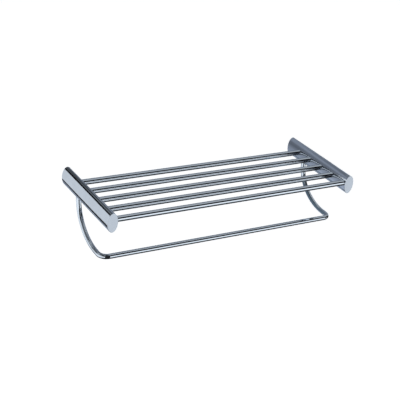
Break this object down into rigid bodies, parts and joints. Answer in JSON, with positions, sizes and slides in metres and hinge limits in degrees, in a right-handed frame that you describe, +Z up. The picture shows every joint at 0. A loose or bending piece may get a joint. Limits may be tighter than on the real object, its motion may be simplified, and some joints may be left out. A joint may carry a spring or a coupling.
{
  "type": "towel rack",
  "caption": "Wall-mounted chrome towel shelf: oval side arms carry a row of round tubes, with a bent towel bar hung below.",
  "frame": {"origin": "on the wall, midway between the two arms, at the height of the arms' centre line; the middle of the four wall screw holes", "axes": "+X along the rack to the right as seen from the room, -Y out of the wall into the room, +Z up"},
  "size_m": [0.6, 0.225, 0.127],
  "materials": {
    "chrome": "polished",
    "cap_chrome": "polished",
    "tube_chrome": "polished",
    "bracket_steel": "zinc plated",
    "screw_steel": "satin",
    "plug_brass": "machined"
  },
  "bodies": {
    "root": {"left_arm": "chrome", "right_arm": "chrome", "left_end_cap": "cap_chrome", "right_end_cap": "cap_chrome", "shelf_tube_1": "tube_chrome", "shelf_tube_2": "tube_chrome", "shelf_tube_3": "tube_chrome", "shelf_tube_4": "tube_chrome", "shelf_tube_5": "tube_chrome", "towel_bar": "tube_chrome", "left_wall_bracket": "bracket_steel", "right_wall_bracket": "bracket_steel", "left_set_screw": "screw_steel", "right_set_screw": "screw_steel", "left_locking_rod": "screw_steel", "right_locking_rod": "screw_steel", "left_bar_plug": "plug_brass", "right_bar_plug": "plug_brass"}
  },
  "joints": []
}
